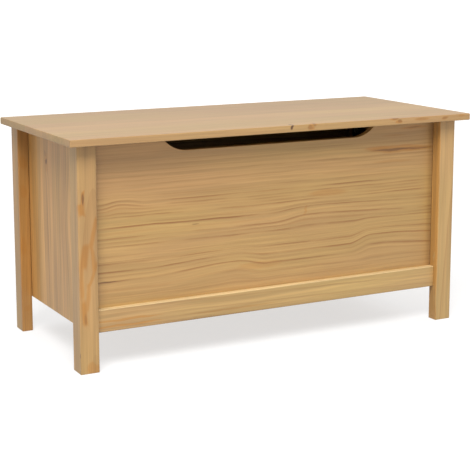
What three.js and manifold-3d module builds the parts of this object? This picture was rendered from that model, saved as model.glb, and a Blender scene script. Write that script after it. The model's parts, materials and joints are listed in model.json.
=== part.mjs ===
// A wooden toy box: a pine chest on four legs, with a finger slot in its front and a hinged lid.
// Sizes are in millimetres. The origin is on the floor, under the middle of the closed lid.
// +X runs to the right along the front, -Y is the front and +Z is up.

import * as THREE from "three";
import { RoundedBoxGeometry } from "three/addons/geometries/RoundedBoxGeometry.js";
import { mergeVertices } from "three/addons/utils/BufferGeometryUtils.js";
import Module from "manifold-3d";

const wasm = await Module();
wasm.setup();

// ---- Driving dimensions ----

const overall = { width: 900, depth: 400, height: 450 };
const lidOverhang = { side: 21.5, front: 24, back: 4.5 };
const boardThickness = 14;
const postWidth = 38;
const postSideArm = 23;
const postFrontArm = 25;
const panelBottom = 74;
const rail = { height: 44, recess: 11 };
const slot = { flatWidth: 383, depth: 27, cornerRadius: 65 };
const bottomBoard = { thickness: 10, underside: 94, gap: 0.5 };
const cleat = { width: 15, height: 18 };
const dowel = { radius: 4, length: 30, intoPanel: 20, endGap: 1, heights: { lower: 150, upper: 340 } };
const ease = { lid: 2, leg: 1.5, panel: 1 };

const hinge = {
  spacing: 580,
  width: 60,
  leafThickness: 1.2,
  leafReach: 28,
  knuckleRadius: 2.2,
  pinRadius: 0.95,
  screwSpacing: 40,
  boxScrewDrop: 16,
  lidScrewReach: 23,
};
const stay = {
  reach: 200,
  lidPivotDrop: 14,
  boxPivotInset: 60,
  boxPivotDrop: 55,
  barWidth: 15,
  plateThickness: 2,
  armThickness: 2.5,
  layerGap: 0.5,
};
const stayPlate = { depth: 44, height: 70, screws: [{ y: 14, z: 24 }, { y: -14, z: -24 }] };
const stopTab = { from: 28, to: 34 };
const lidBracket = { depth: 56, inward: 18, screwOffsets: [-18, 18] };
const pivotBolt = { radius: 4, washerRadius: 7.5, washerHeight: 1.5, headRadius: 6, headHeight: 2.5 };
const rivet = { radius: 2.5, headRadius: 4.5, headHeight: 1.3 };
const screw = {
  headRadius: 3,
  crownRadius: 2.1,
  rimHeight: 0.5,
  headHeight: 1.3,
  shankRadius: 1.5,
  pointLength: 3,
  length: 11,
};
const clearance = 0.3;
const seatGap = 0.1;

// ---- Places worked out from the driving dimensions ----

const carcassTop = overall.height - boardThickness;
const carcassHalf = overall.width / 2 - lidOverhang.side;
const front = -overall.depth / 2 + lidOverhang.front;
const back = overall.depth / 2 - lidOverhang.back;
const panelFront = front + postFrontArm;
const panelBack = panelFront + boardThickness;
const backPanelFront = back - boardThickness;
const sideOuter = carcassHalf - postSideArm;
const sideInner = sideOuter - boardThickness;
const postInner = carcassHalf - postWidth;

// The knuckles lie in the corner between the back panel and the lid's overhang, clear of both.
const pinOffset = hinge.knuckleRadius + seatGap / 2;
const pinAxis = { y: back + pinOffset, z: carcassTop - pinOffset };

// Each lid stay is a parallelogram: hinge pin, box pivot, elbow and lid pivot.
const boxPivot = { y: pinAxis.y - stay.boxPivotInset, z: pinAxis.z - stay.boxPivotDrop };
const lidPivot = { y: pinAxis.y - stay.reach, z: pinAxis.z - stay.lidPivotDrop };
const elbow = {
  y: boxPivot.y + lidPivot.y - pinAxis.y,
  z: boxPivot.z + lidPivot.z - pinAxis.z,
};

// Distances of the stay's layers from the side panel, towards the middle of the box.
const armLayer = stay.plateThickness + stay.layerGap;
const linkLayer = armLayer + stay.armThickness + stay.layerGap;
const earLayer = linkLayer + stay.plateThickness + stay.layerGap;

// ---- Materials ----

const pine = (color) => () => new THREE.MeshStandardMaterial({ color, roughness: 0.55, metalness: 0 });
const lidPine = pine(0xd4b892);
const panelPine = pine(0xc79a62);
const postPine = pine(0xcaa067);
const sidePine = pine(0xbd9569);
const innerPine = pine(0xd2ab74);
const beech = pine(0xd9b98a);
const zincPlate = () => new THREE.MeshStandardMaterial({ color: 0xb9bbbd, roughness: 0.35, metalness: 1 });
const blackSteel = () => new THREE.MeshStandardMaterial({ color: 0x2b2b2d, roughness: 0.5, metalness: 0.6 });

// ---- Helpers ----

const toyBox = new THREE.Group();

function place(name, geometry, material, position = [0, 0, 0], parent = toyBox) {
  const mesh = new THREE.Mesh(geometry, material());
  mesh.name = name;
  mesh.position.set(...position);
  parent.add(mesh);
  return mesh;
}

// A straight board between two opposite corners, with eased edges.
function board(name, low, high, material, radius = ease.panel) {
  const size = high.map((value, i) => value - low[i]);
  const middle = high.map((value, i) => (value + low[i]) / 2);
  return place(name, new RoundedBoxGeometry(...size, 1, radius), material, middle);
}

// An outline extruded to the given thickness, its end faces' edges eased inside the outline.
function easedExtrusion(outline, thickness, radius, curveSegments = 12) {
  const geometry = new THREE.ExtrudeGeometry(outline, {
    depth: thickness - 2 * radius,
    bevelThickness: radius,
    bevelSize: radius,
    bevelOffset: -radius,
    bevelSegments: 2,
    curveSegments,
  });
  return geometry.translate(0, 0, radius);
}

function flatExtrusion(outline, thickness) {
  return new THREE.ExtrudeGeometry(outline, { depth: thickness, bevelEnabled: false, curveSegments: 6 });
}

function solidOf(geometry) {
  const bare = geometry.clone();
  bare.deleteAttribute("normal");
  bare.deleteAttribute("uv");
  const merged = mergeVertices(bare);
  return new wasm.Manifold(
    new wasm.Mesh({
      numProp: 3,
      vertProperties: merged.attributes.position.array,
      triVerts: Uint32Array.from(merged.index.array),
    }),
  );
}

function geometryOf(solid) {
  const mesh = solid.getMesh();
  const geometry = new THREE.BufferGeometry();
  geometry.setAttribute("position", new THREE.BufferAttribute(mesh.vertProperties, 3));
  geometry.setIndex(new THREE.BufferAttribute(mesh.triVerts, 1));
  geometry.computeVertexNormals();
  return geometry;
}

function join(...geometries) {
  return geometryOf(geometries.map(solidOf).reduce((whole, solid) => whole.add(solid)));
}

function without(geometry, ...tools) {
  return geometryOf(tools.map(solidOf).reduce((rest, tool) => rest.subtract(tool), solidOf(geometry)));
}

// Cuts tools, given in the box's own frame, out of a board that is placed there.
function cut(mesh, tools) {
  const local = tools.map((tool) => tool.clone().translate(...mesh.position.clone().negate().toArray()));
  mesh.geometry = without(mesh.geometry, ...local);
}

// A round bar from one point to another along one axis.
function rod(radius, from, to, sides = 16) {
  const start = new THREE.Vector3(...from);
  const run = new THREE.Vector3(...to).sub(start);
  const middle = start.clone().addScaledVector(run, 0.5);
  const turn = new THREE.Quaternion().setFromUnitVectors(new THREE.Vector3(0, 1, 0), run.clone().normalize());
  const geometry = new THREE.CylinderGeometry(radius, radius, run.length(), sides);
  return geometry.applyQuaternion(turn).translate(...middle.toArray());
}

function block(low, high) {
  const size = high.map((value, i) => value - low[i]);
  return new THREE.BoxGeometry(...size).translate(...high.map((value, i) => (value + low[i]) / 2));
}

// Turns an outline drawn in (y, z) and extruded along its own Z so that it is extruded along +X.
function alongX(geometry) {
  return geometry.rotateX(Math.PI / 2).rotateZ(Math.PI / 2);
}

const sides = [
  { name: "left", sign: -1 },
  { name: "right", sign: 1 },
];

// ---- Screws ----

// A pan-head wood screw, its head's underside at the origin and its point along -Y.
function screwGeometry() {
  const profile = [
    [0, -screw.length],
    [screw.shankRadius, screw.pointLength - screw.length],
    [screw.shankRadius, 0],
    [screw.headRadius, 0],
    [screw.headRadius, screw.rimHeight],
    [screw.crownRadius, screw.headHeight],
    [0, screw.headHeight],
  ];
  return new THREE.LatheGeometry(profile.map(([x, y]) => new THREE.Vector2(x, y)), 12);
}

// Drives a screw along a direction, its head just clear of the face at the given point.
function driveScrew(name, point, direction) {
  const along = new THREE.Vector3(...direction);
  const mesh = place(name, screwGeometry(), zincPlate);
  mesh.quaternion.setFromUnitVectors(new THREE.Vector3(0, -1, 0), along);
  mesh.position.set(...point).addScaledVector(along, -seatGap);
}

// The hole that a screw at the given point needs in the metal and the wood behind it.
function screwHole(point, direction) {
  const start = new THREE.Vector3(...point);
  const along = new THREE.Vector3(...direction);
  const from = start.clone().addScaledVector(along, -screw.headHeight);
  const to = start.clone().addScaledVector(along, screw.length + clearance);
  return rod(screw.shankRadius + clearance, from.toArray(), to.toArray(), 12);
}

// ---- Hinges ----

const hinges = sides.map(({ name, sign }) => {
  const x = (sign * hinge.spacing) / 2;
  const screwXs = [-1, 1].map((end) => x + (end * hinge.screwSpacing) / 2);
  const boxLeafFace = pinAxis.y - hinge.knuckleRadius + hinge.leafThickness;
  const lidLeafFace = pinAxis.z + hinge.knuckleRadius - hinge.leafThickness;
  return {
    name,
    x,
    boxScrews: screwXs.map((sx) => [sx, boxLeafFace, pinAxis.z - hinge.boxScrewDrop]),
    lidScrews: screwXs.map((sx) => [sx, pinAxis.y - hinge.lidScrewReach, lidLeafFace]),
  };
});
const intoBack = [0, -1, 0];
const intoLid = [0, 0, 1];

// One leaf with its share of the knuckles. In the leaf's own frame the pin runs along X at the
// origin, the leaf hangs down along -Z and its face touches the knuckles' tangent at -Y.
function leafGeometry(knuckles) {
  const { width, leafThickness, leafReach, knuckleRadius, pinRadius } = hinge;
  const half = width / 2;
  const relief = -knuckleRadius - clearance;
  const isOuter = knuckles === "outer";
  const outerTop = isOuter ? 0 : relief;
  const middleTop = isOuter ? relief : 0;
  const step = width / 6 + (isOuter ? clearance : -clearance) / 2;
  const shape = new THREE.Shape();
  shape.moveTo(-half, -leafReach);
  shape.lineTo(half, -leafReach);
  shape.lineTo(half, outerTop);
  shape.lineTo(step, outerTop);
  shape.lineTo(step, middleTop);
  shape.lineTo(-step, middleTop);
  shape.lineTo(-step, outerTop);
  shape.lineTo(-half, outerTop);
  const leaf = flatExtrusion(shape, leafThickness).rotateX(Math.PI / 2);
  leaf.translate(0, -knuckleRadius + leafThickness, 0);
  const spans = isOuter ? [[-half, -step], [step, half]] : [[-step, step]];
  const barrels = spans.map(([from, to]) => rod(knuckleRadius, [from, 0, 0], [to, 0, 0], 24));
  const bore = rod(pinRadius + clearance, [-width, 0, 0], [width, 0, 0], 24);
  return without(join(leaf, ...barrels), bore);
}

for (const { name, x, boxScrews, lidScrews } of hinges) {
  const group = new THREE.Group();
  group.position.set(x, pinAxis.y, pinAxis.z);
  toyBox.add(group);

  const toHinge = [-x, -pinAxis.y, -pinAxis.z];
  const boxHoles = boxScrews.map((point) => screwHole(point, intoBack).translate(...toHinge));
  place(`${name}_hinge_box_leaf`, without(leafGeometry("outer"), ...boxHoles), zincPlate, [0, 0, 0], group);

  const lidHoles = lidScrews.map((point) => screwHole(point, intoLid).translate(...toHinge));
  const lidLeaf = leafGeometry("middle").rotateX(-Math.PI / 2);
  place(`${name}_hinge_lid_leaf`, without(lidLeaf, ...lidHoles), zincPlate, [0, 0, 0], group);

  const half = hinge.width / 2;
  const pin = rod(hinge.pinRadius, [-half, 0, 0], [half, 0, 0], 16);
  place(`${name}_hinge_pin`, pin, zincPlate, [0, 0, 0], group);

  boxScrews.forEach((point, i) => driveScrew(`${name}_hinge_box_screw_${i + 1}`, point, intoBack));
  lidScrews.forEach((point, i) => driveScrew(`${name}_hinge_lid_screw_${i + 1}`, point, intoLid));
}

// ---- Lid stays ----

// A flat bar with round ends, from its first pivot at the origin to its second at (length, 0).
function barOutline(length, firstHole, secondHole) {
  const radius = stay.barWidth / 2;
  const shape = new THREE.Shape();
  shape.absarc(0, 0, radius, Math.PI / 2, (3 * Math.PI) / 2);
  shape.absarc(length, 0, radius, -Math.PI / 2, Math.PI / 2);
  for (const [x, hole] of [[0, firstHole], [length, secondHole]]) {
    shape.holes.push(new THREE.Path().absarc(x, 0, hole, 0, 2 * Math.PI, true));
  }
  return shape;
}

// Lays a bar between two pivots, at a distance from the side panel.
function bar(name, from, to, layer, thickness, firstHole, secondHole, side) {
  const length = Math.hypot(to.y - from.y, to.z - from.z);
  const geometry = alongX(flatExtrusion(barOutline(length, firstHole, secondHole), thickness));
  const mesh = place(name, geometry, blackSteel);
  mesh.rotation.x = Math.atan2(to.z - from.z, to.y - from.y);
  mesh.position.set(layerStart(layer, thickness, side), from.y, from.z);
}

// The lower X of a layer that starts at a distance from the side panel and is so thick.
function layerStart(distance, thickness, side) {
  return side.sign < 0 ? -sideInner + distance : sideInner - distance - thickness;
}

// A rod along X between two distances from the side panel.
function crossRod(radius, pivot, from, to, side, count = 16) {
  const x = (distance) => side.sign * (sideInner - distance);
  return rod(radius, [x(from), pivot.y, pivot.z], [x(to), pivot.y, pivot.z], count);
}

// A rivet through the layers between two distances from the side panel.
function setRivet(name, pivot, firstFace, lastFace, side) {
  const { radius, headRadius, headHeight } = rivet;
  const outer = firstFace - clearance;
  const inner = lastFace + clearance;
  const shank = crossRod(radius, pivot, outer - headHeight / 2, inner + headHeight / 2, side);
  const heads = [
    crossRod(headRadius, pivot, outer - headHeight, outer, side),
    crossRod(headRadius, pivot, inner, inner + headHeight, side),
  ];
  place(name, join(shank, ...heads), zincPlate);
}

const stays = sides.map((side) => {
  const plateFace = side.sign * (sideInner - stay.plateThickness);
  const bracketX = side.sign * (sideInner - earLayer - lidBracket.inward / 2 - 1);
  const bracketFace = carcassTop - stay.plateThickness;
  return {
    side,
    plateScrews: stayPlate.screws.map(({ y, z }) => [plateFace, boxPivot.y + y, boxPivot.z + z]),
    bracketScrews: lidBracket.screwOffsets.map((dy) => [bracketX, lidPivot.y + dy, bracketFace]),
    intoSide: [side.sign, 0, 0],
  };
});

for (const { side, plateScrews, bracketScrews, intoSide } of stays) {
  const { name, sign } = side;
  const span = (from, to) => [from, to].map((d) => sign * (sideInner - d)).sort((a, b) => a - b);
  const hole = rivet.radius + clearance;
  const pivotHole = pivotBolt.radius + clearance;

  // The box plate carries the friction pivot and a tab that stops the arm when the lid is upright.
  const [plateLow, plateHigh] = span(0, stay.plateThickness);
  const plate = block(
    [plateLow, boxPivot.y - stayPlate.depth / 2, boxPivot.z - stayPlate.height / 2],
    [plateHigh, boxPivot.y + stayPlate.depth / 2, boxPivot.z + stayPlate.height / 2],
  );
  const [tabLow, tabHigh] = span(0, armLayer + stay.armThickness);
  const lean = Math.atan(stay.lidPivotDrop / stay.reach);
  const armBack = stay.barWidth / 2 / Math.cos(lean) - stopTab.from * Math.tan(lean);
  const tabFront = boxPivot.y + armBack + clearance;
  const tab = block(
    [tabLow, tabFront, boxPivot.z + stopTab.from],
    [tabHigh, tabFront + stay.plateThickness, boxPivot.z + stopTab.to],
  );
  const plateHoles = [
    crossRod(pivotHole, boxPivot, -1, armLayer, side),
    ...plateScrews.map((point) => screwHole(point, intoSide)),
  ];
  place(`${name}_stay_plate`, without(join(plate, tab), ...plateHoles), blackSteel);

  bar(`${name}_stay_arm`, boxPivot, elbow, armLayer, stay.armThickness, pivotHole, hole, side);
  bar(`${name}_stay_link`, elbow, lidPivot, linkLayer, stay.plateThickness, hole, hole, side);

  // The lid bracket is an angle: an ear that hangs beside the link, and a foot under the lid.
  const [earLow, earHigh] = span(earLayer, earLayer + stay.plateThickness);
  const [footLow, footHigh] = span(earLayer, earLayer + lidBracket.inward);
  const ear = new THREE.Shape();
  const earRadius = stay.barWidth / 2;
  const earTop = carcassTop - lidPivot.z;
  ear.absarc(0, 0, earRadius, Math.PI, 2 * Math.PI);
  ear.lineTo(lidBracket.depth / 2, earTop);
  ear.lineTo(-lidBracket.depth / 2, earTop);
  const earPlate = alongX(flatExtrusion(ear, earHigh - earLow)).translate(earLow, lidPivot.y, lidPivot.z);
  const foot = block(
    [footLow, lidPivot.y - lidBracket.depth / 2, carcassTop - stay.plateThickness],
    [footHigh, lidPivot.y + lidBracket.depth / 2, carcassTop],
  );
  const bracketHoles = [
    crossRod(hole, lidPivot, linkLayer, earLayer + stay.plateThickness + 1, side),
    ...bracketScrews.map((point) => screwHole(point, intoLid)),
  ];
  place(`${name}_stay_lid_bracket`, without(join(earPlate, foot), ...bracketHoles), blackSteel);

  // The pivot bolt is a shank through the plate and the arm, a washer face and a hexagon head.
  const washerFace = armLayer + stay.armThickness + clearance;
  const headFace = washerFace + pivotBolt.washerHeight;
  const bolt = join(
    crossRod(pivotBolt.radius, boxPivot, seatGap, headFace, side),
    crossRod(pivotBolt.washerRadius, boxPivot, washerFace, headFace, side, 24),
    crossRod(pivotBolt.headRadius, boxPivot, washerFace, headFace + pivotBolt.headHeight, side, 6),
  );
  place(`${name}_stay_pivot_bolt`, bolt, zincPlate);
  setRivet(`${name}_stay_elbow_rivet`, elbow, armLayer, linkLayer + stay.plateThickness, side);
  setRivet(`${name}_stay_lid_rivet`, lidPivot, linkLayer, earLayer + stay.plateThickness, side);

  plateScrews.forEach((point, i) => driveScrew(`${name}_stay_plate_screw_${i + 1}`, point, intoSide));
  bracketScrews.forEach((point, i) => driveScrew(`${name}_stay_bracket_screw_${i + 1}`, point, intoLid));
}

// ---- Lid ----

const lid = board(
  "lid",
  [-overall.width / 2, -overall.depth / 2, carcassTop],
  [overall.width / 2, overall.depth / 2, overall.height],
  lidPine,
  ease.lid,
);
const lidScrews = [...hinges.flatMap((h) => h.lidScrews), ...stays.flatMap((s) => s.bracketScrews)];
cut(lid, lidScrews.map((point) => screwHole(point, intoLid)));

// ---- Legs ----

// The section of a front post: an L whose inner corner holds the side panel and the front panel.
// It is drawn for the left post, from its outer front corner, and mirrored for the right one.
function postOutline(sign) {
  const corner = ease.leg;
  const points = [
    [0, 0],
    [postWidth, 0],
    [postWidth, postFrontArm],
    [postSideArm, postFrontArm],
    [postSideArm, postWidth],
    [0, postWidth],
  ];
  const rebateCorner = 3;
  const ordered = sign < 0 ? points : points.map(([x, y]) => [-x, y]).reverse();
  const sharpAt = sign < 0 ? rebateCorner : points.length - 1 - rebateCorner;
  const shape = new THREE.Shape();
  ordered.forEach(([x, y], i) => {
    if (i === sharpAt) {
      shape.lineTo(x, y);
      return;
    }
    const before = ordered.at(i - 1);
    const after = ordered[(i + 1) % ordered.length];
    const entry = [x + Math.sign(before[0] - x) * corner, y + Math.sign(before[1] - y) * corner];
    const exit = [x + Math.sign(after[0] - x) * corner, y + Math.sign(after[1] - y) * corner];
    if (i === 0) {
      shape.moveTo(...entry);
    } else {
      shape.lineTo(...entry);
    }
    shape.quadraticCurveTo(x, y, ...exit);
  });
  return shape;
}

for (const { name, sign } of sides) {
  const post = easedExtrusion(postOutline(sign), carcassTop, ease.panel, 3);
  place(`front_${name}_post`, post, postPine, [sign * carcassHalf, front, 0]);

  const [legLow, legHigh] = [sign * sideOuter, sign * carcassHalf].sort((a, b) => a - b);
  const low = [legLow, back - postWidth, 0];
  board(`back_${name}_leg`, low, [legHigh, back, carcassTop], postPine, ease.leg);
}

// ---- Dowels and the holes for them ----

const dowelRows = [
  { name: "front", y: (panelFront + panelBack) / 2 },
  { name: "back", y: (backPanelFront + back) / 2 },
];
const dowels = dowelRows.flatMap((row) =>
  sides.flatMap((side) =>
    Object.entries(dowel.heights).map(([level, z]) => {
      const end = (from) => [side.sign * (sideInner + from), row.y, z];
      const inPanel = -dowel.intoPanel;
      const inSide = dowel.length - dowel.intoPanel;
      return {
        row: row.name,
        side: side.name,
        name: `${row.name}_${side.name}_${level}_dowel`,
        pin: rod(dowel.radius, end(inPanel), end(inSide), 12),
        hole: rod(dowel.radius + clearance, end(inPanel - dowel.endGap), end(inSide + dowel.endGap), 12),
      };
    }),
  ),
);
for (const { name, pin } of dowels) {
  place(name, pin, beech);
}
const dowelHoles = (test) => dowels.filter(test).map((peg) => peg.hole);

// ---- Side panels ----

for (const { side, plateScrews, intoSide } of stays) {
  const [low, high] = [side.sign * sideInner, side.sign * sideOuter].sort((a, b) => a - b);
  const bottomCorner = [low, panelFront, panelBottom];
  const panel = board(`${side.name}_side_panel`, bottomCorner, [high, back, carcassTop], sidePine);
  const screwHoles = plateScrews.map((point) => screwHole(point, intoSide));
  cut(panel, [...screwHoles, ...dowelHoles((peg) => peg.side === side.name)]);
}

// ---- Front panel with the finger slot, and the rail along its foot ----

function frontPanelOutline() {
  const height = carcassTop - panelBottom;
  const flatHalf = slot.flatWidth / 2;
  const centreZ = height - slot.depth + slot.cornerRadius;
  const sweep = Math.acos((slot.cornerRadius - slot.depth) / slot.cornerRadius);
  const down = -Math.PI / 2;
  const shape = new THREE.Shape();
  shape.moveTo(-sideInner, 0);
  shape.lineTo(sideInner, 0);
  shape.lineTo(sideInner, height);
  shape.absarc(flatHalf, centreZ, slot.cornerRadius, down + sweep, down, true);
  shape.absarc(-flatHalf, centreZ, slot.cornerRadius, down, down - sweep, true);
  shape.lineTo(-sideInner, height);
  return shape;
}

const frontPanelGeometry = easedExtrusion(frontPanelOutline(), boardThickness, ease.panel);
frontPanelGeometry.rotateX(Math.PI / 2).translate(0, boardThickness, 0);
const frontPanel = place("front_panel", frontPanelGeometry, panelPine, [0, panelFront, panelBottom]);
cut(frontPanel, dowelHoles((peg) => peg.row === "front"));

board(
  "front_rail",
  [-postInner, front + rail.recess, panelBottom],
  [postInner, panelFront, panelBottom + rail.height],
  postPine,
);

// ---- Back panel, let in at its top edge for the lid leaves ----

const backPanel = board(
  "back_panel",
  [-sideInner, backPanelFront, panelBottom],
  [sideInner, back, carcassTop],
  panelPine,
);
const mortises = hinges.map(({ x }) => {
  const half = hinge.width / 2 + clearance;
  const depth = pinOffset - hinge.knuckleRadius + hinge.leafThickness + seatGap;
  return block([x - half, backPanelFront - 1, carcassTop - depth], [x + half, back + 1, carcassTop + 1]);
});
const backScrewHoles = hinges.flatMap((h) => h.boxScrews).map((point) => screwHole(point, intoBack));
cut(backPanel, [...mortises, ...backScrewHoles, ...dowelHoles((peg) => peg.row === "back")]);

// ---- Bottom board on its four cleats ----

const bottomBoardTop = bottomBoard.underside + bottomBoard.thickness;
board(
  "bottom_board",
  [-sideInner + bottomBoard.gap, panelBack + bottomBoard.gap, bottomBoard.underside],
  [sideInner - bottomBoard.gap, backPanelFront - bottomBoard.gap, bottomBoardTop],
  innerPine,
);

const cleatBottom = bottomBoard.underside - cleat.height;
const cleatFronts = { front: panelBack, back: backPanelFront - cleat.width };
for (const [name, y] of Object.entries(cleatFronts)) {
  const high = [sideInner, y + cleat.width, bottomBoard.underside];
  board(`${name}_cleat`, [-sideInner, y, cleatBottom], high, innerPine);
}
for (const { name, sign } of sides) {
  const [low, high] = [sign * (sideInner - cleat.width), sign * sideInner].sort((a, b) => a - b);
  const from = [low, panelBack + cleat.width, cleatBottom];
  board(`${name}_cleat`, from, [high, backPanelFront - cleat.width, bottomBoard.underside], innerPine);
}

export default toyBox;
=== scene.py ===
import json
import math

import bmesh
import bpy
from mathutils import Matrix, Vector


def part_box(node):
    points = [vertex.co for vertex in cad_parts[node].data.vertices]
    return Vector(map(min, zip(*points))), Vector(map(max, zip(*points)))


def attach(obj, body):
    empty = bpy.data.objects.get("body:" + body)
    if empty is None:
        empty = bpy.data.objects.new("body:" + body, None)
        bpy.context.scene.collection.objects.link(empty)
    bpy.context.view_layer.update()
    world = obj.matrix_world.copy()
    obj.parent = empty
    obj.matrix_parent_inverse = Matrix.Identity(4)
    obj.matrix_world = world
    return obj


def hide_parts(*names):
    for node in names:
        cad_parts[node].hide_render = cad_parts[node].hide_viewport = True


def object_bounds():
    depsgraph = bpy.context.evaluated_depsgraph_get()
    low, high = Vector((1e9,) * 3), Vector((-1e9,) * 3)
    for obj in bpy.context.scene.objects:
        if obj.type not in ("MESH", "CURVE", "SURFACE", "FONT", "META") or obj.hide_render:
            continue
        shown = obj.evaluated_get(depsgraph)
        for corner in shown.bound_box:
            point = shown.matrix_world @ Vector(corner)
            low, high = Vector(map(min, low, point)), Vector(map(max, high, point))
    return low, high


# The looks of a pine toy box: varnished boards with their own grain, zinc-plated hinges and screws,
# black lid stays, a pale studio and the camera. Lengths are in metres, in the model's own frame:
# +Z up, the front at -Y, the origin on the floor under the middle of the box. Angles are in degrees
# where a name or comment says so, and otherwise in radians.

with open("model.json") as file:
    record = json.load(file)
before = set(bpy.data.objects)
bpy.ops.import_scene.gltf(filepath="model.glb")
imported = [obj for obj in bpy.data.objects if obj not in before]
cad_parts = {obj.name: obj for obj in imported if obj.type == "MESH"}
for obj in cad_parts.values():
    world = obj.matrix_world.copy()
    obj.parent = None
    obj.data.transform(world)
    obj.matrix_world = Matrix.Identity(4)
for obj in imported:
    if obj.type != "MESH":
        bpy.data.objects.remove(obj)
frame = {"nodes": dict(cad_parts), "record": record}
cad_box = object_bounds()
nodes = frame["nodes"]
node_body = {name: body for body, names in frame["record"]["behaviour"]["bodies"].items() for name in names}

MM = 0.001


# ---------------------------------------------------------------------------
# Shader nodes as formulas
# ---------------------------------------------------------------------------

class Field:
    """A value that varies over a surface: one output of a material's nodes. Arithmetic adds Math nodes."""

    def __init__(self, socket):
        self.socket = socket
        self.tree = socket.id_data

    def math(self, operation, *others):
        return add(self.tree, "Math", dict(enumerate((self, *others))), operation=operation)

    def __add__(self, other):
        return self.math("ADD", other)

    def __sub__(self, other):
        return self.math("SUBTRACT", other)

    def __mul__(self, other):
        return self.math("MULTIPLY", other)

    def __truediv__(self, other):
        return self.math("DIVIDE", other)

    def __pow__(self, other):
        return self.math("POWER", other)

    def floor(self):
        return self.math("FLOOR")

    def fraction(self):
        return self.math("FRACT")

    def most(self, other):
        return self.math("MAXIMUM", other)

    def ramp(self, start, end, low=0.0, high=1.0):
        """Goes smoothly from low at start to high at end, and stays there."""
        values = {"Value": self, "From Min": start, "From Max": end, "To Min": low, "To Max": high}
        return add(self.tree, "MapRange", values, interpolation_type="SMOOTHSTEP")


def feed(socket, value):
    """Links a field to an input, or sets a plain value on it."""
    if isinstance(value, Field):
        value.tree.links.new(value.socket, socket)
    else:
        socket.default_value = value


def add(tree, kind, values, output=0, **settings):
    """Adds one shader node, with its inputs by name or number, and returns one of its outputs."""
    node = tree.nodes.new("ShaderNode" + kind)
    for name, setting in settings.items():
        setattr(node, name, setting)
    for key, value in values.items():
        feed(node.inputs[key], value)
    return Field(node.outputs[output])


def point(x, y, z):
    """A position in a noise. What multiplies a place is per metre: the more, the finer the noise."""
    return add(x.tree, "CombineXYZ", {0: x, 1: y, 2: z})


def noise(position, scale, detail=2.0, roughness=0.5):
    """Smooth random values between 0 and 1."""
    values = {"Vector": position, "Scale": scale, "Detail": detail, "Roughness": roughness}
    return add(position.tree, "TexNoise", values)


def luck(number, seed):
    """One random value between 0 and 1 for each whole number."""
    return add(number.tree, "TexWhiteNoise", {"W": number + seed}, noise_dimensions="1D")


def mix(amount, first, second, blend="MIX"):
    """A colour between first and second. At least one of the three values is a field."""
    values = {0: amount, 6: first, 7: second}
    tree = next(value.tree for value in values.values() if isinstance(value, Field))
    return add(tree, "Mix", values, output=2, data_type="RGBA", blend_type=blend)


def distance(*differences):
    """The length of a vector, given as its parts."""
    total = differences[0] * differences[0]
    for difference in differences[1:]:
        total = total + difference * difference
    return total ** 0.5


def blob(place, centre, size):
    """1 at the centre of an ellipsoid, falling smoothly to 0 at its surface."""
    away = distance(*((value - start) / reach for value, start, reach in zip(place, centre, size)))
    return away.ramp(0.0, 1.0, 1.0, 0.0)


def trail(place, start, end, bend, width):
    """1 along a bent streak from start to end, given as (along, across), falling to 0 at its width."""
    along, across, through = place
    share = (along - start[0]) / (end[0] - start[0])
    bulge = share * (share * -1.0 + 1.0) * (4 * bend)
    spine = share * (end[1] - start[1]) + start[1] + bulge
    ends = share.ramp(0.0, 0.2) * share.ramp(0.8, 1.0, 1.0, 0.0)
    return (across - spine).math("ABSOLUTE").ramp(0.3 * width, width, 1.0, 0.0) * ends


def new_material(name):
    """An empty material with a Principled shader: returns its node tree, the shader and the material."""
    material = bpy.data.materials.new(name)
    material.use_nodes = True
    tree = material.node_tree
    tree.nodes.clear()
    shader = tree.nodes.new("ShaderNodeBsdfPrincipled")
    output = tree.nodes.new("ShaderNodeOutputMaterial")
    tree.links.new(shader.outputs["BSDF"], output.inputs["Surface"])
    return tree, shader, material


def coordinates(tree, kind="Object"):
    """By default the model's own x, y and z, which stay with a piece when it moves."""
    place = tree.nodes.new("ShaderNodeTexCoord").outputs[kind]
    split = tree.nodes.new("ShaderNodeSeparateXYZ")
    tree.links.new(place, split.inputs[0])
    return [Field(output) for output in split.outputs]


def bump(height, depth, strength):
    """A relief as deep as depth where height goes from 0 to 1."""
    values = {"Height": height, "Distance": depth, "Strength": strength}
    return add(height.tree, "Bump", values)


# ---------------------------------------------------------------------------
# Pine
# ---------------------------------------------------------------------------

EARLYWOOD = (0.455, 0.283, 0.094, 1)
BLUSH = (0.458, 0.262, 0.100, 1)
LATEWOOD = (0.275, 0.118, 0.030, 1)
HONEY = (0.430, 0.225, 0.050, 1)
# This orange also paints the shade on the right front post's recessed inner face.
FLAME_AND_SHADE = (0.435, 0.195, 0.040, 1)
# This dark brown also paints the shade along joints and edges, and down the top of the left front post.
KNOT_AND_SHADE = (0.085, 0.030, 0.010, 1)
GLUE_LINE = (0.240, 0.120, 0.040, 1)
# A painted highlight, for an edge that catches the light.
PAINTED_HIGHLIGHT = (0.640, 0.450, 0.220, 1)


def strips_of(along, across, stave, seed):
    """A glued board: each strip comes from another place in another log.

    Returns the strip's number, the glue line, and the place along and across the log.
    """
    lanes = across / stave + 100.1
    lane = lanes.floor()
    strip = luck(lane, seed + 3.1)
    joint = (lanes.fraction() - 0.5).math("ABSOLUTE").ramp(0.5 - 0.35 * MM / stave, 0.5)
    return lane, joint, along + strip * 3.0, across + strip * 0.4


def swirled(along, across, ring_across, swirls):
    """A swirl lifts the rings steeply before its middle and lets them sink slowly behind it, or the
    other way round."""
    for centre, before, after, height, lift in swirls:
        away = ((along - centre[0]) / after).most((along - centre[0]) / -before)
        bulge = distance(away, (across - centre[1]) / height).ramp(0.0, 1.0, 1.0, 0.0)
        ring_across = ring_across - bulge * lift
    return ring_across


def latewood(rings, log_along, through, seed, contrast):
    """The dark end of each year's ring, which is stronger in some years and in some places."""
    late = rings.fraction() ** 3.0 * (luck(rings.floor(), seed) * 0.8 + 0.2)
    patches = noise(point(log_along * 3.0, rings * 0.9, through + seed), 1.0, 1.0)
    return late * patches.ramp(0.25, 0.75, 0.2, 1.0) * contrast


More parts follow.
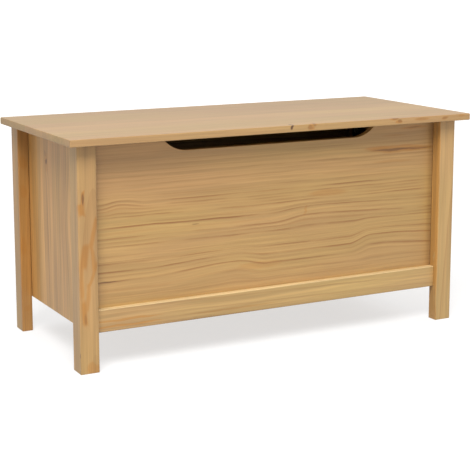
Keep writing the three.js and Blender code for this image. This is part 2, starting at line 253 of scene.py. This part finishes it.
def lined(late, along, ring_across, through, lines):
    """Adds the strongest rings of a board that was sawn along them. They come and go along the board."""
    if lines:
        streak = noise(point(along * 7.0, ring_across * 40.0, through), 1.0, 3.0)
        streak = streak.ramp(0.36, 0.60, 0.20, 1.0)
    for height, strength in lines:
        gap = ring_across - height
        edge = gap.ramp(-6 * MM, -0.3 * MM) ** 2.0 * gap.ramp(-0.3 * MM, 1.6 * MM, 1.0, 0.0)
        late = late.most(edge * streak * strength)
    return late


def figured(colour, late, place, strips, flames_and_shade, trails, face, knots_and_shade, shade_lines, shade_reach, painted_highlights):
    """Colours the bands, flame figure, rings, dark spots, painted shade along joints and edges, and painted
    highlights.
    """
    along, across, through = place
    for start, end, strength in strips:
        entered = across.ramp(start - 1 * MM, start + 1 * MM)
        inside = entered * across.ramp(end - 1 * MM, end + 1 * MM, 1.0, 0.0)
        colour = mix(inside * strength, colour, HONEY)
    ragged = noise(point(along * 22.0, across * 70.0, through * 70.0), 1.0, 3.0) - 0.5
    rough = (along + ragged * (24 * MM), across + ragged * (8 * MM), through)
    # Orange flames of the figure; one of them is painted shade over a recessed face.
    for centre, size, strength in flames_and_shade:
        colour = mix(blob(rough, centre, size).ramp(0.08, 0.5) * strength, colour, FLAME_AND_SHADE)
    for start, end, bend, width, strength in trails:
        skin = (through - face).math("ABSOLUTE").ramp(4 * MM, 10 * MM, 1.0, 0.0)
        colour = mix(trail(rough, start, end, bend, width) * skin * strength, colour, FLAME_AND_SHADE)
    colour = mix(late, colour, LATEWOOD)
    # Dark knots; a wide faint one is painted shade.
    for centre, size, strength in knots_and_shade:
        colour = mix(blob(rough, centre, size).ramp(0.0, 0.6) * strength, colour, KNOT_AND_SHADE)
    # Painted shade along a joint or an edge: a dark line, with a fainter painted shade beside it.
    for axis, start in shade_lines:
        off = (place[axis] - start).math("ABSOLUTE")
        painted_shade = off.ramp(0.3 * MM, 2.2 * MM, 0.70, 0.0).most(off.ramp(0.0, shade_reach, 0.38, 0.0))
        colour = mix(painted_shade, colour, KNOT_AND_SHADE)
    # A painted highlight along an edge.
    for axis, start in painted_highlights:
        off = (place[axis] - start).math("ABSOLUTE")
        colour = mix(off.ramp(0.5 * MM, 2.5 * MM, 0.75, 0.0), colour, PAINTED_HIGHLIGHT)
    return colour


def pine(node, grain, heart, ring, wave=5 * MM, taper=0.022, stave=None, seed=0.0,
         tone=(1.0, 1.0, 1.0), contrast=1.0, streaks=1.0, lines=(), swirls=(), strips=(), flames_and_shade=(),
         trails=(), face=0.0, knots_and_shade=(), shade_lines=(), shade_reach=4 * MM, painted_highlights=()):
    """A board's own pine, cut from a log whose rings are tubes along the grain.

    grain orders the axes: along the fibres, across the board's face, through its thickness. Every
    place is measured from the board's middle, in that order.

    The log: heart is its centre (across, through), ring the yearly growth, wave how far the rings
    wander, taper how fast the log narrows, which points the rings into arches, stave the width of
    the glued strips, if there are any, and seed the choice of the log.

    The colour: tone multiplies red, green and blue, contrast is of the rings, streaks of the fibres.

    The figure and the painted light; each entry ends with a strength, but not those of swirls, shade_lines
    or
    painted_highlights:
    lines: the strongest rings, as a height across the board.
    swirls: a centre (along, across), the reaches before, after and across, and the lift of the grain.
    strips: honey-coloured bands, from one place across the board to another.
    flames_and_shade, knots_and_shade: orange and dark spots, as a centre and a size. Most are figure; a
    few are painted shade: orange on the right front post's recessed inner face, and dark down the top of
    the left front post.
    trails: orange streaks on one face, which is a place through the board: start, end, bend, width.
    shade_lines: painted shade along a joint or an edge, as the number of an axis and a place on it,
    with a fainter painted shade as far as shade_reach.
    painted_highlights: a painted highlight along an edge, given like shade_lines.
    """
    tree, shader, material = new_material(node + "_pine")
    low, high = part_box(node)
    middle = (low + high) / 2
    model_place = coordinates(tree)
    place = [model_place["xyz".index(axis)] - middle["xyz".index(axis)] for axis in grain]
    along, across, through = place

    # Growth rings round the heart, which wander as the log grew, and waver over a few centimetres.
    log_along, ring_across = along, across
    if stave:
        lane, joint, log_along, ring_across = strips_of(along, across, stave, seed)
    ring_across = swirled(along, across, ring_across, swirls)
    drift = noise(point(log_along * 1.5, ring_across * 5.0, through * 5.0 + seed), 1.0, 3.0) - 0.5
    waver = noise(point(log_along * 14.0, ring_across * 30.0, through * 30.0 + seed), 1.0, 2.0) - 0.5
    ring_across = ring_across + drift * (2 * wave) + waver * (0.5 * wave)
    rings = (distance(ring_across - heart[0], through - heart[1]) + log_along * taper) / ring
    growth = latewood(rings, log_along, through, seed, contrast)
    late = lined(growth, along, ring_across, through, lines)

    # Fibres in bundles and threads, and the short dark ducts that carried the resin.
    bundles = noise(point(log_along * 2.5, ring_across * 80.0, through * 80.0), 1.0, 3.0, 0.6)
    threads = noise(point(log_along * 6.0, ring_across * 230.0, through * 230.0), 1.0, 2.0)
    fibres = noise(point(along * 9.0, across * 620.0, through * 620.0), 1.0, 4.0, 0.65)
    ducts = noise(point(along * 60.0, across * 2400.0, through * 2400.0), 1.0, 1.0).ramp(0.74, 0.86)
    clouds = noise(point(log_along * 1.8, ring_across * 9.0, through * 9.0 + seed), 1.0, 2.0)

    colour = mix(clouds.ramp(0.3, 0.7), EARLYWOOD, BLUSH)
    colour = figured(colour, late, place, strips, flames_and_shade, trails, face, knots_and_shade, shade_lines, shade_reach, painted_highlights)

    coarse = 0.10 * streaks
    fine = 0.03 + 0.04 * streaks
    shade = bundles.ramp(0.33, 0.67, 1 - coarse, 1 + coarse) * threads.ramp(0.3, 0.7, 1 - fine, 1 + fine)
    shade = shade * fibres.ramp(0.2, 0.8, 0.94, 1.05) - ducts * 0.22
    if stave:
        shade = shade * (luck(lane, seed + 7.7) * 0.14 + 0.93)
        colour = mix(joint * 0.5, colour, GLUE_LINE)
    tint = point(*(shade * share for share in tone))
    colour = mix(1.0, colour, tint, blend="MULTIPLY")

    # Clear varnish over planed wood: the fibres show through as a very low relief.
    feed(shader.inputs["Base Color"], colour)
    feed(shader.inputs["Roughness"], fibres.ramp(0.2, 0.8, 0.50, 0.42) - late * 0.06)
    relief = fibres * 0.5 + growth * 0.35 - ducts * 0.5
    feed(shader.inputs["Normal"], bump(relief, 0.08 * MM, 0.5))
    shader.inputs["IOR"].default_value = 1.5
    shader.inputs["Coat Weight"].default_value = 0.35
    shader.inputs["Coat Roughness"].default_value = 0.28
    return material


def reach(node, axis):
    """How far a board reaches from its middle along x, y or z."""
    low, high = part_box(node)
    return (high - low)["xyz".index(axis)] / 2


# Faces, edges and joints that carry marks, painted shade or painted highlights, measured from their board's
# middle.
LID_EDGE = -reach("lid", "y")
PANEL_FACE = -reach("front_panel", "y")
SIDE_FACE = -reach("left_side_panel", "x")
RAIL_FACE = -reach("front_rail", "y")
RAIL_TOP = reach("front_rail", "z")
POST_FACE = -reach("front_left_post", "y")
POST_INNER_FACE = -reach("front_right_post", "x")
LEG_FACE = -reach("back_left_leg", "y")
POST_SEAM = reach("front_rail", "x") + 0.5 * MM
LEG_SEAM = reach("left_side_panel", "y") - 2 * reach("back_left_leg", "y") + 0.25 * MM

# The strongest rings of the front panel: millimetres above its middle, and strength.
FRONT_RINGS = [(-118, 0.3), (-106, 0.4), (-88, 0.8), (-78, 0.3), (-69, 0.9), (-53, 0.7), (-40, 0.3),
               (-22, 0.7), (-14, 0.4), (-6, 0.7), (3, 0.3), (14, 1.0), (20, 0.4), (33, 0.8), (39, 0.5),
               (46, 0.5), (52, 0.7), (60, 0.8), (72, 0.4), (84, 0.3), (95, 0.35), (112, 0.5), (140, 0.3)]

pine_of = {
    "lid": pine(
        "lid", "xyz", heart=(0.02, -0.16), ring=7 * MM, stave=52 * MM, seed=1.3, tone=(0.86, 0.87, 0.92),
        contrast=0.45, streaks=0.6,
        flames_and_shade=[
            ((0.058, LID_EDGE, 0.001), (0.012, 0.020, 0.009), 0.8),
            ((0.068, LID_EDGE + 4 * MM, 0.006), (0.010, 0.030, 0.006), 0.5),
            ((0.256, LID_EDGE, 0.006), (0.014, 0.014, 0.005), 0.8),
            ((0.268, LID_EDGE, 0.000), (0.012, 0.008, 0.006), 0.9),
            ((0.325, LID_EDGE, 0.002), (0.026, 0.006, 0.005), 0.6),
            ((0.384, LID_EDGE, 0.001), (0.012, 0.008, 0.006), 0.7),
            ((0.425, LID_EDGE, 0.004), (0.012, 0.020, 0.004), 0.6),
        ],
        knots_and_shade=[
            ((0.013, LID_EDGE, 0.003), (0.006, 0.012, 0.007), 0.9),
            ((0.017, LID_EDGE + 10 * MM, 0.007), (0.006, 0.012, 0.004), 0.7),
            ((0.055, LID_EDGE, 0.001), (0.009, 0.014, 0.008), 0.25),
            ((0.068, LID_EDGE + 4 * MM, 0.005), (0.005, 0.020, 0.006), 0.30),
            ((0.259, LID_EDGE, 0.006), (0.010, 0.010, 0.003), 0.35),
            ((0.270, LID_EDGE, 0.001), (0.008, 0.006, 0.005), 0.40),
            ((0.325, LID_EDGE, 0.002), (0.020, 0.008, 0.003), 0.20),
            ((0.384, LID_EDGE, 0.001), (0.010, 0.006, 0.004), 0.30),
        ],
    ),
    "front_panel": pine(
        "front_panel", "xzy", heart=(-0.55, 0.05), ring=9 * MM, wave=6 * MM, taper=0.0, seed=4.2,
        tone=(0.985, 0.975, 0.97), contrast=0.5, streaks=0.6,
        lines=[(height * MM, strength) for height, strength in FRONT_RINGS],
        swirls=[
            ((0.085, 0.005), 0.09, 0.30, 0.040, 10 * MM),
            ((-0.082, -0.085), 0.20, 0.07, 0.050, 12 * MM),
            ((0.240, -0.060), 0.06, 0.30, 0.060, 15 * MM),
            ((-0.335, 0.060), 0.04, 0.06, 0.030, 6 * MM),
        ],
        flames_and_shade=[
            ((0.300, 0.124, PANEL_FACE), (0.110, 0.012, 0.02), 0.75),
            ((0.350, 0.121, PANEL_FACE), (0.060, 0.006, 0.02), 0.70),
            ((0.250, 0.128, PANEL_FACE), (0.050, 0.005, 0.02), 0.60),
            ((0.340, 0.166, PANEL_FACE), (0.050, 0.005, 0.02), 0.55),
            ((0.290, 0.152, PANEL_FACE), (0.050, 0.003, 0.02), 0.35),
            ((0.290, 0.098, PANEL_FACE), (0.080, 0.004, 0.02), 0.35),
            ((0.130, 0.044, PANEL_FACE), (0.070, 0.010, 0.02), 0.40),
            ((0.075, 0.012, PANEL_FACE), (0.006, 0.014, 0.02), 0.45),
            ((-0.030, -0.090, PANEL_FACE), (0.080, 0.010, 0.02), 0.30),
        ],
        knots_and_shade=[
            ((0.290, 0.123, PANEL_FACE), (0.075, 0.0040, 0.02), 0.55),
            ((0.355, 0.121, PANEL_FACE), (0.040, 0.0022, 0.02), 0.45),
            ((0.338, 0.166, PANEL_FACE), (0.024, 0.0018, 0.02), 0.35),
            ((-0.175, 0.007, PANEL_FACE), (0.012, 0.0020, 0.02), 0.45),
            ((-0.360, -0.088, PANEL_FACE), (0.030, 0.0018, 0.02), 0.55),
        ],
        # Painted shade at the panel's ends, in the corners against the posts.
        shade_lines=[(0, -POST_SEAM), (0, POST_SEAM)], shade_reach=18 * MM,
    ),
    "back_panel": pine("back_panel", "xzy", heart=(0.30, 0.04), ring=8 * MM, stave=62 * MM, seed=9.1,
                       contrast=1.1, streaks=0.6),
    "left_side_panel": pine(
        "left_side_panel", "zyx", heart=(0.35, 0.03), ring=11 * MM, stave=52 * MM, seed=5.6,
        tone=(1.14, 1.07, 1.02), contrast=0.7, streaks=1.6,
        swirls=[
            ((0.115, 0.030), 0.05, 0.07, 0.022, 7 * MM),
            ((0.020, -0.090), 0.16, 0.12, 0.060, 14 * MM),
        ],
        strips=[(0.083, 0.135, 0.6)],
        flames_and_shade=[((0.118, 0.029, SIDE_FACE), (0.034, 0.015, 0.02), 0.35)],
        knots_and_shade=[
            ((0.120, 0.030, SIDE_FACE), (0.009, 0.009, 0.01), 0.65),
            ((0.136, 0.036, SIDE_FACE), (0.010, 0.004, 0.01), 0.35),
        ],
        # Painted shade in the corner between the side panel and the back leg.
        shade_lines=[(1, LEG_SEAM)],
    ),
    # Painted shade in the corner between the side panel and the back leg.
    "right_side_panel": pine("right_side_panel", "zyx", heart=(0.35, 0.03), ring=11 * MM, stave=52 * MM,
                             seed=15.2, tone=(1.12, 1.06, 1.01), contrast=0.9, streaks=1.0,
                             shade_lines=[(1, LEG_SEAM)]),
    "bottom_board": pine("bottom_board", "xyz", heart=(0.10, 0.05), ring=8 * MM, stave=75 * MM, seed=2.4,
                         contrast=1.1, streaks=0.6),
    "front_rail": pine(
        "front_rail", "xzy", heart=(-0.2, 0.02), ring=9 * MM, seed=6.3, tone=(1.15, 1.21, 1.28),
        contrast=0.6,
        flames_and_shade=[
            ((-0.33, -0.002, RAIL_FACE), (0.11, 0.004, 0.01), 0.8),
            ((-0.34, -0.013, RAIL_FACE), (0.13, 0.003, 0.01), 0.8),
            ((-0.10, -0.010, RAIL_FACE), (0.16, 0.003, 0.01), 0.4),
        ],
        knots_and_shade=[((-0.42, 0.000, RAIL_FACE), (0.70, 0.200, 0.05), 0.17)],
        # Painted shade along the rail's bottom edge, and a painted highlight along its top edge.
        shade_lines=[(1, -RAIL_TOP - 0.5 * MM)], painted_highlights=[(1, RAIL_TOP)],
    ),
    "front_left_post": pine(
        "front_left_post", "zxy", heart=(0.012, 0.09), ring=7 * MM, wave=4 * MM, seed=3.7,
        tone=(0.98, 0.99, 0.98), contrast=0.5, face=POST_FACE,
        trails=[
            ((0.136, -0.0070), (0.104, -0.0100), -0.0010, 0.0040, 1.0),
            ((0.112, -0.0120), (0.078, -0.0100), -0.0020, 0.0095, 1.0),
            ((0.086, 0.0190), (0.022, 0.0060), -0.0010, 0.0065, 0.9),
            ((0.040, 0.0040), (-0.026, 0.0120), 0.0030, 0.0055, 0.8),
            ((0.036, -0.0020), (-0.020, -0.0100), -0.0020, 0.0110, 1.0),
            ((0.000, 0.0150), (-0.056, -0.0040), 0.0040, 0.0050, 0.8),
            ((-0.004, -0.0150), (-0.080, -0.0140), 0.0010, 0.0055, 0.8),
            ((-0.040, -0.0020), (-0.100, -0.0060), 0.0030, 0.0060, 0.7),
            ((-0.070, -0.0100), (-0.128, -0.0070), -0.0010, 0.0080, 1.0),
        ],
        flames_and_shade=[((-0.210, 0.0070, POST_FACE), (0.020, 0.0220, 0.012), 0.6)],
        knots_and_shade=[
            ((0.118, -0.009, POST_FACE), (0.018, 0.0030, 0.008), 0.6),
            ((-0.110, -0.007, POST_FACE), (0.018, 0.0040, 0.008), 0.25),
            # A wide faint darkening over the post's upper part: painted shade from the lid above.
            ((0.130, 0.004, POST_FACE), (0.260, 0.030, 0.020), 0.16),
            ((-0.178, -0.0185, POST_FACE), (0.010, 0.0014, 0.004), 0.8),
        ],
    ),
    # The orange over this post's inner face, in the recess beside the front panel, is painted shade.
    "front_right_post": pine("front_right_post", "zxy", heart=(0.05, 0.15), ring=6 * MM, seed=8.9,
                             tone=(1.04, 1.10, 1.14), contrast=0.6,
                             flames_and_shade=[((0.05, POST_INNER_FACE, -0.005), (0.60, 0.003, 0.05), 0.7)]),
    "back_left_leg": pine(
        "back_left_leg", "zxy", heart=(0.02, -0.06), ring=4 * MM, seed=11.8, tone=(0.93, 0.90, 0.83),
        contrast=0.7,
        flames_and_shade=[
            ((0.0, 0.0, LEG_FACE), (0.5, 0.05, 0.012), 0.65),
            ((0.141, 0.0, LEG_FACE), (0.024, 0.014, 0.010), 0.7),
            ((0.078, -0.002, LEG_FACE), (0.022, 0.012, 0.010), 0.7),
            ((-0.035, -0.004, LEG_FACE), (0.035, 0.010, 0.010), 0.7),
            ((-0.171, 0.0, LEG_FACE), (0.012, 0.010, 0.010), 0.6),
        ],
        knots_and_shade=[((0.0, 0.0, LEG_FACE), (0.5, 0.05, 0.012), 0.08)],
    ),
    "back_right_leg": pine("back_right_leg", "zxy", heart=(-0.05, -0.12), ring=5 * MM, seed=12.5),
    "front_cleat": pine("front_cleat", "xzy", heart=(0.05, 0.08), ring=4 * MM, seed=13.1),
    "back_cleat": pine("back_cleat", "xzy", heart=(-0.06, 0.07), ring=4 * MM, seed=14.4),
    "left_cleat": pine("left_cleat", "yzx", heart=(0.04, 0.08), ring=4 * MM, seed=16.2),
    "right_cleat": pine("right_cleat", "yzx", heart=(0.07, -0.05), ring=4 * MM, seed=17.9),
}


# ---------------------------------------------------------------------------
# Beech and metals
# ---------------------------------------------------------------------------

def beech():
    """Pale, dense wood with short dark flecks, turned into dowels that lie along X."""
    tree, shader, material = new_material("beech_dowel")
    x, y, z = coordinates(tree)
    fibres = noise(point(x * 30.0, y * 900.0, z * 900.0), 1.0, 3.0)
    flecks = noise(point(x * 180.0, y * 1500.0, z * 1500.0), 1.0, 1.0).ramp(0.66, 0.78)
    colour = mix(fibres, (0.50, 0.31, 0.17, 1), (0.62, 0.42, 0.25, 1))
    colour = mix(flecks * 0.6, colour, (0.28, 0.14, 0.06, 1))
    feed(shader.inputs["Base Color"], colour)
    feed(shader.inputs["Roughness"], fibres.ramp(0.2, 0.8, 0.62, 0.52))
    feed(shader.inputs["Normal"], bump(fibres - flecks, 0.05 * MM, 0.4))
    return material


def zinc_plated_steel():
    """Bright zinc with the faint mottling of the bath and fine drawing marks."""
    tree, shader, material = new_material("zinc_plated_steel")
    x, y, z = coordinates(tree)
    place = point(x, y, z)
    mottle = noise(place, 160.0, 3.0)
    marks = noise(point(x * 40.0, y * 2600.0, z * 2600.0), 1.0, 2.0)
    colour = mix(mottle.ramp(0.3, 0.7), (0.40, 0.42, 0.45, 1), (0.50, 0.49, 0.45, 1))
    feed(shader.inputs["Base Color"], colour)
    feed(shader.inputs["Roughness"], mottle * 0.16 + marks * 0.14 + 0.20)
    feed(shader.inputs["Normal"], bump(marks, 0.02 * MM, 0.35))
    shader.inputs["Metallic"].default_value = 1.0
    return material


def black_steel():
    """Steel strip under a thin black finish: a fine grainy sheen, slightly brown where it is thin."""
    tree, shader, material = new_material("black_steel")
    x, y, z = coordinates(tree)
    place = point(x, y, z)
    grain = noise(place, 1400.0, 2.0)
    haze = noise(place, 60.0, 3.0).ramp(0.3, 0.7)
    colour = mix(haze, (0.018, 0.018, 0.020, 1), (0.034, 0.030, 0.027, 1))
    feed(shader.inputs["Base Color"], colour)
    feed(shader.inputs["Roughness"], haze * 0.10 + grain * 0.12 + 0.34)
    feed(shader.inputs["Normal"], bump(grain, 0.03 * MM, 0.3))
    shader.inputs["Specular IOR Level"].default_value = 0.6
    return material


metal_of = {"zinc_plated_steel": zinc_plated_steel(), "black_steel": black_steel(), "beech": beech()}

for name, piece in nodes.items():
    finish = piece.material_slots[0].material.name.split(".")[0]
    piece.material_slots[0].material = pine_of.get(name) or metal_of[finish]


# ---------------------------------------------------------------------------
# Screws
# ---------------------------------------------------------------------------

SCREW_LENGTH = 11 * MM
SCREW_POINT = 3 * MM
SCREW_CORE = 1.1 * MM
SCREW_CREST = 1.5 * MM
SCREW_PITCH = 1.4 * MM
HEAD_RADIUS = 3 * MM
HEAD_RIM = 0.5 * MM
HEAD_HEIGHT = 1.3 * MM
RECESS_LENGTH = 3.6 * MM
RECESS_WIDTH = 0.75 * MM
RECESS_DEPTH = 0.9 * MM
RECESS_TAPER = 0.55
SPOKES = 24
SHANK_STEPS = 64
HEAD_STEPS = 6
SHARPEST_SMOOTH_EDGE = math.radians(35)
TURN_FROM_SCREW_TO_SCREW = 0.8


def finished(shape, name):
    """Turns a bmesh into an object in the scene."""
    mesh = bpy.data.meshes.new(name)
    shape.to_mesh(mesh)
    shape.free()
    thing = bpy.data.objects.new(name, mesh)
    bpy.context.scene.collection.objects.link(thing)
    return thing


def ring_of(shape, height, radii):
    """A ring of vertices at a height, with one radius for each spoke."""
    ring = []
    for spoke, radius in enumerate(radii):
        angle = 2 * math.pi * spoke / SPOKES
        ring.append(shape.verts.new((radius * math.cos(angle), radius * math.sin(angle), height)))
    return ring


def thread_radius(height, spoke):
    """The shank's radius on one spoke: the thread's ridge winds round a core that ends in a point."""
    taper = min(1.0, (height + SCREW_LENGTH) / SCREW_POINT)
    ridge = 1 - abs(2 * ((height / SCREW_PITCH - spoke / SPOKES) % 1) - 1)
    return (SCREW_CORE + (SCREW_CREST - SCREW_CORE) * ridge) * taper


def screw_blank():
    """A pan-head wood screw that points along -Z, its head's underside at the origin."""
    shape = bmesh.new()
    rings = []
    for step in range(1, SHANK_STEPS + 1):
        height = SCREW_LENGTH * (step / SHANK_STEPS - 1)
        rings.append(ring_of(shape, height, [thread_radius(height, spoke) for spoke in range(SPOKES)]))
    rings.append(ring_of(shape, 0, [HEAD_RADIUS] * SPOKES))
    for step in range(HEAD_STEPS):
        angle = math.pi / 2 * step / HEAD_STEPS
        radius = HEAD_RADIUS * math.cos(angle) ** 0.5
        height = HEAD_RIM + (HEAD_HEIGHT - HEAD_RIM) * math.sin(angle)
        rings.append(ring_of(shape, height, [radius] * SPOKES))
    for lower, upper in zip(rings, rings[1:]):
        for corner in range(len(lower)):
            following = (corner + 1) % len(lower)
            shape.faces.new((lower[corner], lower[following], upper[following], upper[corner]))
    tip = shape.verts.new((0, 0, -SCREW_LENGTH))
    crown = shape.verts.new((0, 0, HEAD_HEIGHT))
    for corner in range(len(rings[0])):
        following = (corner + 1) % len(rings[0])
        shape.faces.new((rings[0][following], rings[0][corner], tip))
        shape.faces.new((rings[-1][corner], rings[-1][following], crown))
    return finished(shape, "screw_blank")


def recess_bar(turn):
    """One bar of the cross recess, narrower at its bottom, as a cutter."""
    shape = bmesh.new()
    bmesh.ops.create_cube(shape, size=1.0)
    for vertex in shape.verts:
        narrow = RECESS_TAPER if vertex.co.z < 0 else 1.0
        vertex.co.x *= RECESS_LENGTH * narrow
        vertex.co.y *= RECESS_WIDTH * narrow
        vertex.co.z = HEAD_HEIGHT + vertex.co.z * 2 * RECESS_DEPTH
    bmesh.ops.rotate(shape, verts=shape.verts, matrix=Matrix.Rotation(turn, 3, "Z"))
    return finished(shape, "recess_bar")


def screw_mesh():
    """The screw with its cross recess cut."""
    blank = screw_blank()
    bars = [recess_bar(0), recess_bar(math.pi / 2)]
    for bar in bars:
        cut = blank.modifiers.new("recess", "BOOLEAN")
        cut.operation = "DIFFERENCE"
        cut.solver = "EXACT"
        cut.object = bar
    bpy.context.view_layer.update()
    cut_blank = blank.evaluated_get(bpy.context.evaluated_depsgraph_get())
    mesh = bpy.data.meshes.new_from_object(cut_blank)
    for helper in (blank, *bars):
        bpy.data.objects.remove(helper)
    mesh.materials.clear()
    mesh.materials.append(metal_of["zinc_plated_steel"])
    for face in mesh.polygons:
        face.use_smooth = True
    mesh.set_sharp_from_angle(angle=SHARPEST_SMOOTH_EDGE)
    return mesh


def pointing(name):
    """The way a screw is driven: into the back panel for a hinge's box leaf, into a side for a stay's
    plate, and otherwise up into the lid."""
    if "hinge_box" in name:
        return Vector((0, -1, 0))
    if "stay_plate" in name:
        return Vector((-1 if name.startswith("left") else 1, 0, 0))
    return Vector((0, 0, 1))


detailed_screw = screw_mesh()
screw_names = sorted(name for name in nodes if "_screw_" in name)

for number, name in enumerate(screw_names):
    low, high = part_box(name)
    way = pointing(name)
    piece = bpy.data.objects.new(name + "_detailed", detailed_screw)
    bpy.context.scene.collection.objects.link(piece)
    head_top = (low + high) / 2 - way * (SCREW_LENGTH + HEAD_HEIGHT) / 2
    spin = Matrix.Rotation(TURN_FROM_SCREW_TO_SCREW * number, 4, "Z")
    stand = (-way).to_track_quat("Z", "Y").to_matrix().to_4x4()
    piece.matrix_world = Matrix.Translation(head_top + way * HEAD_HEIGHT) @ stand @ spin
    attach(piece, node_body[name])
    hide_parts(name)


# ---------------------------------------------------------------------------
# Eased edges
# ---------------------------------------------------------------------------

BOARD_EASE = 0.35 * MM
METAL_EASE = 0.15 * MM
SAME_VERTEX = 0.005 * MM
SAME_PLANE = math.radians(0.5)
SHARP_EDGE = math.radians(25)


def ease(piece, width):
    """Rounds a piece's sharp edges slightly. Its own flat faces keep their shading."""
    weld = piece.modifiers.new("weld", "WELD")
    weld.merge_threshold = SAME_VERTEX
    flat = piece.modifiers.new("flat", "DECIMATE")
    flat.decimate_type = "DISSOLVE"
    flat.angle_limit = SAME_PLANE
    round_edges = piece.modifiers.new("round", "BEVEL")
    round_edges.width = width
    round_edges.segments = 2
    round_edges.limit_method = "ANGLE"
    round_edges.angle_limit = SHARP_EDGE
    shading = piece.modifiers.new("shading", "WEIGHTED_NORMAL")
    shading.keep_sharp = False
    for face in piece.data.polygons:
        face.use_smooth = True


for name, piece in nodes.items():
    if name in pine_of:
        ease(piece, BOARD_EASE)
    elif name not in screw_names:
        ease(piece, METAL_EASE)


# ---------------------------------------------------------------------------
# Studio
# ---------------------------------------------------------------------------

low, high = cad_box
centre = (low + high) / 2
extent = (high - low).length
WHITE = (1, 1, 1, 1)
WALL_LIGHT = 0.73
CEILING_LIGHT = 0.36


def direction(azimuth, elevation):
    """From the box towards the viewer, in degrees. Azimuth 0 is the front, and 90 is the right side."""
    around = math.radians(azimuth)
    up = math.radians(elevation)
    return Vector((math.sin(around) * math.cos(up), -math.cos(around) * math.cos(up), math.sin(up)))


def softbox(name, azimuth, elevation, away, size, power):
    """A square area light that faces the box from a direction, with its distance and size in metres."""
    light = bpy.data.lights.new(name, "AREA")
    light.size = size
    light.energy = power
    lamp = bpy.data.objects.new(name, light)
    bpy.context.scene.collection.objects.link(lamp)
    back = direction(azimuth, elevation)
    lamp.location = centre + back * away
    lamp.rotation_euler = back.to_track_quat("Z", "Y").to_euler()


def floor():
    """A pale matt studio floor, lit through from below as a product table is, and brighter further out.

    The box gets less light back from it than the camera sees, so that the box keeps its shadows.
    """
    mesh = bpy.data.meshes.new("floor")
    reach = 40 * extent
    corners = [(-reach, -reach, 0), (reach, -reach, 0), (reach, reach, 0), (-reach, reach, 0)]
    mesh.from_pydata(corners, [], [(0, 1, 2, 3)])
    plane = bpy.data.objects.new("floor", mesh)
    bpy.context.scene.collection.objects.link(plane)
    plane.location.z = low.z
    tree, shader, material = new_material("pale_floor")
    x, y, z = coordinates(tree)
    mottle = noise(point(x, y, z), 3.0, 3.0)
    glow = distance(x, y).ramp(0.6 * extent, 5 * extent, 0.64, 1.0)
    seen = Field(tree.nodes.new("ShaderNodeLightPath").outputs["Is Camera Ray"])
    feed(shader.inputs["Base Color"], mix(mottle, (0.34, 0.34, 0.34, 1), (0.36, 0.36, 0.36, 1)))
    feed(shader.inputs["Emission Strength"], glow * seen.ramp(0.0, 1.0, 0.4, 1.0))
    shader.inputs["Emission Color"].default_value = WHITE
    shader.inputs["Roughness"].default_value = 0.9
    shader.inputs["Specular IOR Level"].default_value = 0.1
    mesh.materials.append(material)


def studio():
    """White walls round the box, under a dimmer ceiling. The background that the camera sees is white."""
    world = bpy.data.worlds.new("studio")
    bpy.context.scene.world = world
    world.use_nodes = True
    tree = world.node_tree
    x, y, z = coordinates(tree, "Generated")
    walls = z.ramp(0.25, 0.55, WALL_LIGHT, CEILING_LIGHT)
    seen = Field(tree.nodes.new("ShaderNodeLightPath").outputs["Is Camera Ray"])
    feed(tree.nodes["Background"].inputs["Strength"], walls.most(seen))
    tree.nodes["Background"].inputs["Color"].default_value = WHITE


floor()
studio()
softbox("key", azimuth=-34, elevation=50, away=3.5, size=1.8, power=138)
softbox("right_fill", azimuth=95, elevation=35, away=4.0, size=2.5, power=48)
softbox("back_fill", azimuth=170, elevation=64, away=4.0, size=3.0, power=28)

scene = bpy.context.scene
scene.view_settings.view_transform = "Standard"
scene.view_settings.look = "None"

# The camera looks down slightly from the front left, at a point above the box's middle.
VIEW = direction(azimuth=-28.0, elevation=9.86)
AIM = centre + Vector((0, 0.014, 0.0685))
CAMERA_DISTANCE = 2.782
FOCAL_LENGTH = 100.6
SENSOR_WIDTH = 36
SHIFT = -0.1

lens = bpy.data.cameras.new("camera")
lens.sensor_width = SENSOR_WIDTH
lens.lens = FOCAL_LENGTH
lens.shift_y = SHIFT
camera = bpy.data.objects.new("camera", lens)
camera.location = AIM + VIEW * CAMERA_DISTANCE
camera.rotation_euler = VIEW.to_track_quat("Z", "Y").to_euler()
scene.collection.objects.link(camera)
scene.camera = camera
